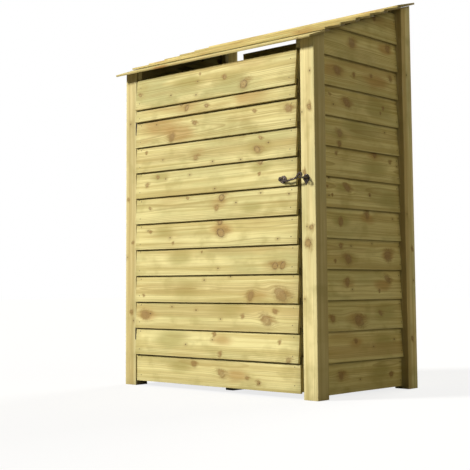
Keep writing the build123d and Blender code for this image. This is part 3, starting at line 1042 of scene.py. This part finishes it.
for hinge in ("hinge_lower", "hinge_upper"):
    for leaf, body, outward in (("door_leaf", "door", -along_x), ("post_leaf", "root", along_x)):
        node = f"{hinge}_{leaf}"
        low, high = (Vector(corner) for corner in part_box(node))
        face_x = low.x if leaf == "door_leaf" else high.x
        for height in leaf_screw_heights:
            middle_z = (low.z + high.z) / 2 + height
            point = Vector((face_x, high.y - leaf_screw_inset, middle_z))
            add_screw(body, node, point, outward)

door_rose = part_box("door_hook_plate")
low, high = (Vector(corner) for corner in door_rose)
rose_middle = Vector((high.x - rose_reach, low.y, (low.z + high.z) / 2))
for angle in door_screw_angles:
    step = Vector((math.cos(angle), 0, math.sin(angle))) * door_screw_step
    add_screw("door", "door_hook_plate", rose_middle + step, -along_y)
post_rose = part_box("post_hook_rose")
low, high = (Vector(corner) for corner in post_rose)
rose_middle = Vector(((low.x + high.x) / 2, low.y, high.z - rose_reach))
for height in post_screw_heights:
    add_screw("root", "post_hook_rose", rose_middle + along_z * height, -along_y)
for body, heads in screw_sets.items():
    join_heads(heads, f"{body}_screws", black_iron, body)
bpy.data.objects.remove(screw)

# %% [markdown]
# ## Light and floor
#
# One soft key light stands for the low sun at the front left, which leaves the right wall in
# shade. A wide warm lamp fills that wall, and a third one lights the back. The floor is plain and
# pale. What only the camera and mirrors see of the sky is white, and the floor mixes in some
# white so that it keeps a soft shadow but meets the sky without a line.

# %% Sky
sky_strength = 0.05
sky_colour = (1.0, 0.97, 0.92, 1)
white_colour = (1, 1, 1, 1)

world = bpy.data.worlds.new("studio")
bpy.context.scene.world = world
world.use_nodes = True
tree = world.node_tree
sky = tree.nodes["Background"]
sky.inputs["Color"].default_value = sky_colour
sky.inputs["Strength"].default_value = sky_strength
white = tree.nodes.new("ShaderNodeBackground")
white.inputs["Color"].default_value = white_colour
white.inputs["Strength"].default_value = 1.0


def either(first, second):
    """1 where either of two sockets of the world is 1."""
    larger = tree.nodes.new("ShaderNodeMath")
    larger.operation = "MAXIMUM"
    tree.links.new(first, larger.inputs[0])
    tree.links.new(second, larger.inputs[1])
    return larger.outputs[0]


paths = tree.nodes.new("ShaderNodeLightPath")
seen = either(paths.outputs["Is Camera Ray"], paths.outputs["Is Transmission Ray"])
seen = either(seen, paths.outputs["Is Glossy Ray"])
choose = tree.nodes.new("ShaderNodeMixShader")
tree.links.new(seen, choose.inputs[0])
tree.links.new(sky.outputs[0], choose.inputs[1])
tree.links.new(white.outputs[0], choose.inputs[2])
tree.links.new(choose.outputs[0], tree.nodes["World Output"].inputs["Surface"])
print("sky nodes", len(tree.nodes))

# %% Lamps
lamp_distance = 6


def add_lamp(name, azimuth, height, strength, softness, colour):
    """A distant lamp, placed by its angle round from the front and its height, in degrees."""
    azimuth = math.radians(azimuth)
    height = math.radians(height)
    flat = math.cos(height)
    source = Vector((math.sin(azimuth) * flat, -math.cos(azimuth) * flat, math.sin(height)))
    bpy.ops.object.light_add(type="SUN", location=source * lamp_distance)
    lamp = bpy.context.object
    lamp.name = name
    lamp.rotation_euler = source.to_track_quat("Z", "Y").to_euler()
    lamp.data.energy = strength
    lamp.data.angle = math.radians(softness)
    lamp.data.color = colour
    print(name, "strength", strength)


add_lamp("key_light", azimuth=-33, height=30, strength=4.0, softness=12, colour=(1.0, 0.975, 0.93))
add_lamp("fill_light", azimuth=98, height=35, strength=0.62, softness=60, colour=(1.0, 0.87, 0.53))
add_lamp("rear_light", azimuth=188, height=22, strength=2.2, softness=25, colour=(1.0, 0.985, 0.95))

# %% Floor
floor_size = 60
floor_for_light = (0.155, 0.15, 0.138, 1)
floor_for_camera = (0.95, 0.95, 0.95, 1)
floor_glow = 0.8

bpy.ops.mesh.primitive_plane_add(size=floor_size, location=(0, 0, 0))
floor = bpy.context.object
floor.name = "floor"
floor_finish = Finish("pale_floor", Roughness=0.9, Specular_IOR_Level=0.1)
camera_sees = floor_finish.node("ShaderNodeLightPath", {}, {}, "Is Camera Ray")
floor_finish.feed("Base Color", floor_finish.mix(camera_sees, floor_for_light, floor_for_camera))
lit = Wire(floor_finish, floor_finish.shader.outputs[0])
glow = floor_finish.node("ShaderNodeEmission", {}, {})
blend = floor_finish.node("ShaderNodeMixShader", {}, {0: camera_sees * floor_glow, 1: lit, 2: glow})
floor_finish.plug(blend, floor_finish.tree.nodes["Material Output"].inputs["Surface"])
floor.data.materials.append(floor_finish.material)
print("floor", floor_size, "m wide")

# %% Remove the warp helper
bpy.data.objects.remove(warp_place)
